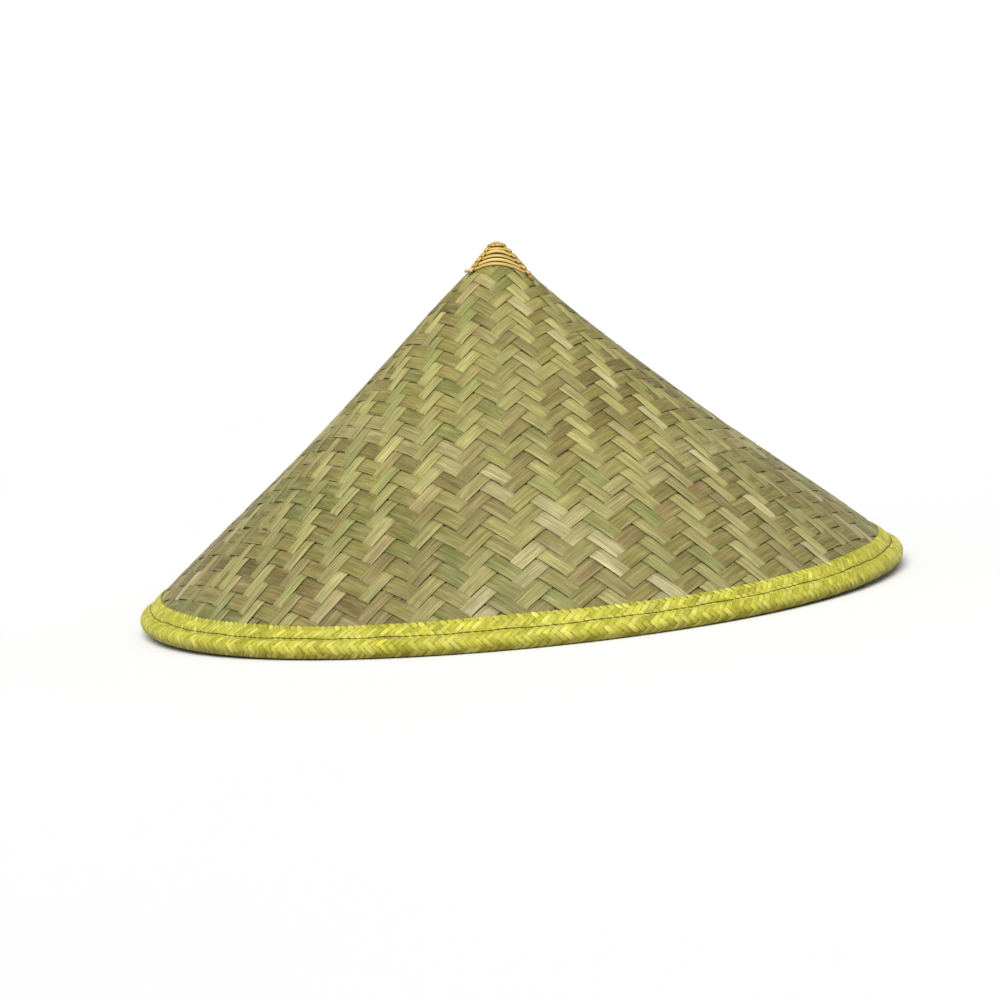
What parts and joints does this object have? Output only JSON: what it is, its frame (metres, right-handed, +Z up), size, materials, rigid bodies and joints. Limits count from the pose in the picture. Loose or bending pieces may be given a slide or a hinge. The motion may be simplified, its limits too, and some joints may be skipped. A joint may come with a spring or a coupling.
{
  "type": "conical hat",
  "caption": "Wide conical sun hat of twilled bamboo strips over leaf and an open lattice, with a braid-bound rim, a cane-wound tip and a head band inside.",
  "frame": {"origin": "on the axis, at the level the rim rests on", "axes": "+Z up the axis to the tip; -Y faces the viewer; the two chin rings are on the X axis"},
  "size_m": [0.4198, 0.4198, 0.1929],
  "materials": {
    "outer_bamboo": "split bamboo skin, satin, olive green to tan",
    "leaf": "dried bamboo leaf, matt",
    "lattice_bamboo": "split bamboo, inner side, matt",
    "rim_bamboo": "half-round bamboo hoop, satin",
    "straw_braid": "dyed straw braid, glossy fibres, yellow-green",
    "thread": "dark sewing thread",
    "band_bamboo": "thin split bamboo, satin",
    "tie_cane": "rattan cane, satin",
    "tape": "woven cotton tape",
    "ring_wire": "plain wire",
    "cane": "golden rattan cane with a satin skin"
  },
  "bodies": {
    "hat": {"outer_weave": "outer_bamboo", "leaf_lining": "leaf", "lattice_splint_1": "lattice_bamboo", "lattice_splint_2": "lattice_bamboo", "lattice_splint_3": "lattice_bamboo", "lattice_splint_4": "lattice_bamboo", "lattice_splint_5": "lattice_bamboo", "lattice_splint_6": "lattice_bamboo", "lattice_splint_7": "lattice_bamboo", "lattice_splint_8": "lattice_bamboo", "lattice_splint_9": "lattice_bamboo", "lattice_hoop_1": "lattice_bamboo", "lattice_hoop_2": "lattice_bamboo", "lattice_hoop_3": "lattice_bamboo", "lattice_hoop_4": "lattice_bamboo", "lattice_hoop_5": "lattice_bamboo", "rim_hoop_outer": "rim_bamboo", "rim_hoop_inner": "rim_bamboo", "edge_braid": "straw_braid", "seam_thread": "thread", "head_band": "band_bamboo", "head_band_upper_hoop": "band_bamboo", "head_band_lower_hoop": "band_bamboo", "band_tie_1": "tie_cane", "band_tie_2": "tie_cane", "band_tie_3": "tie_cane", "band_tie_4": "tie_cane", "band_tie_5": "tie_cane", "band_tie_6": "tie_cane", "chin_loop_left": "tape", "chin_loop_right": "tape", "apex_spoke_1": "cane", "apex_spoke_2": "cane", "apex_spoke_3": "cane", "apex_cane": "cane"},
    "left_ring": {"chin_ring_left": "ring_wire"},
    "right_ring": {"chin_ring_right": "ring_wire"}
  },
  "joints": [
    {"name": "left_ring_swing", "type": "hinge", "parent": "hat", "child": "left_ring", "pos_m": [-0.08995, 0, 0.0636], "axis": [0, 1, 0], "range_deg": [-70, 70]},
    {"name": "right_ring_swing", "type": "hinge", "parent": "hat", "child": "right_ring", "pos_m": [0.08995, 0, 0.0636], "axis": [0, 1, 0], "range_deg": [-70, 70]}
  ]
}
